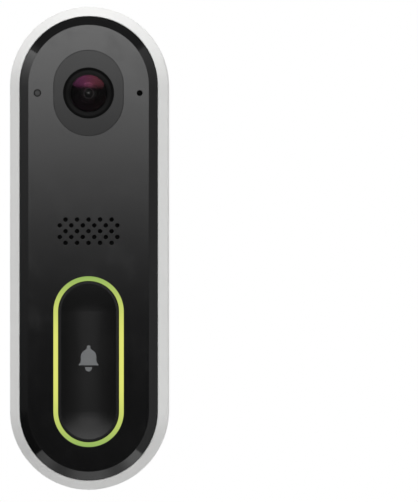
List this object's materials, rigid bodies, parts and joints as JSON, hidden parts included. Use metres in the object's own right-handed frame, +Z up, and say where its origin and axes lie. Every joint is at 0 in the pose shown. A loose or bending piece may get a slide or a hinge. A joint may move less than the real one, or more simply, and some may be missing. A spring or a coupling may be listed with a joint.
{
  "type": "video doorbell",
  "caption": "Upright battery video doorbell with a glossy black face, domed camera lens, speaker grille, lit ring round a call button, and a ribbed wall bracket.",
  "frame": {"origin": "on the wall surface, midway between the two wall-screw holes of the bracket", "axes": "+Y into the wall, so the camera and button face -Y; +Z up; +X to the visitor's right"},
  "size_m": [0.0452, 0.0415, 0.137],
  "materials": {
    "white_shell": "fine satin texture",
    "gloss_black": "gloss",
    "dark_window": "gloss, slightly see-through to infrared",
    "lens_glass": "polished, coated",
    "black_plastic": "matte",
    "grey_plastic": "satin",
    "rubber": "matte",
    "foam": "matte, porous",
    "clear_plastic": "clear",
    "light_guide": "translucent, lit from behind",
    "circuit_board": "solder mask",
    "chip": "matte",
    "steel": "satin",
    "nickel": "satin",
    "cell_can": "shrink sleeve over a can",
    "flex": "polyimide film",
    "mesh": "fine woven"
  },
  "bodies": {
    "wall_bracket": {"wall_bracket": "white_shell"},
    "doorbell": {"front_housing": "white_shell", "rear_housing": "white_shell", "housing_seal": "rubber", "housing_screws": "steel", "release_retainer": "grey_plastic", "face_plate": "gloss_black", "face_gasket": "rubber", "camera_window": "dark_window", "lens_bezel": "black_plastic", "lens_front_element": "lens_glass", "lens_barrel": "black_plastic", "lens_elements": "lens_glass", "lens_iris": "black_plastic", "lens_holder": "black_plastic", "image_sensor": "chip", "camera_board": "circuit_board", "lens_shroud": "rubber", "sensor_board": "circuit_board", "sensor_board_screws": "steel", "infrared_lamps": "clear_plastic", "light_sensor": "chip", "light_sensor_window": "clear_plastic", "microphone": "steel", "microphone_boot": "rubber", "microphone_mesh": "mesh", "light_ring": "light_guide", "ring_lamps": "clear_plastic", "button_board": "circuit_board", "switch_bodies": "black_plastic", "speaker_frame": "black_plastic", "speaker_magnet": "steel", "speaker_cone": "mesh", "speaker_surround": "rubber", "speaker_gasket": "foam", "speaker_mesh": "mesh", "mid_frame": "black_plastic", "mid_frame_screws": "steel", "main_board": "circuit_board", "board_screws": "steel", "main_processor": "chip", "wifi_module": "steel", "power_parts": "chip", "board_connector": "black_plastic", "sensor_flex": "flex", "camera_flex": "flex", "wifi_antenna": "flex", "battery_tray": "black_plastic", "rear_screws": "steel", "battery_cells": "cell_can", "battery_foam": "foam", "battery_links": "nickel", "charging_port": "steel", "charge_board": "circuit_board", "charge_flex": "flex"},
    "button": {"button_cap": "gloss_black", "bell_icon": "grey_plastic"},
    "switch_plungers": {"switch_plungers": "grey_plastic"},
    "release_pin": {"release_pin": "steel", "release_spring": "steel"}
  },
  "joints": [
    {"name": "doorbell_off", "type": "slide", "parent": "wall_bracket", "child": "doorbell", "axis": [0, -1, 0], "range_m": [0, 0.06]},
    {"name": "button_press", "type": "slide", "parent": "doorbell", "child": "button", "axis": [0, 1, 0], "range_m": [0, 0.0006], "stiffness_N_per_m": 3000, "springref_m": -0.0003},
    {"name": "plunger_press", "type": "slide", "parent": "doorbell", "child": "switch_plungers", "axis": [0, 1, 0], "range_m": [0, 0.0006]},
    {"name": "pin_push", "type": "slide", "parent": "doorbell", "child": "release_pin", "axis": [0, 0, 1], "range_m": [0, 0.0025], "stiffness_N_per_m": 400, "springref_m": -0.001, "deforming": ["release_spring"]}
  ],
  "couplings": [
    {"joint": "plunger_press", "follows": "button_press", "ratio": 1}
  ]
}
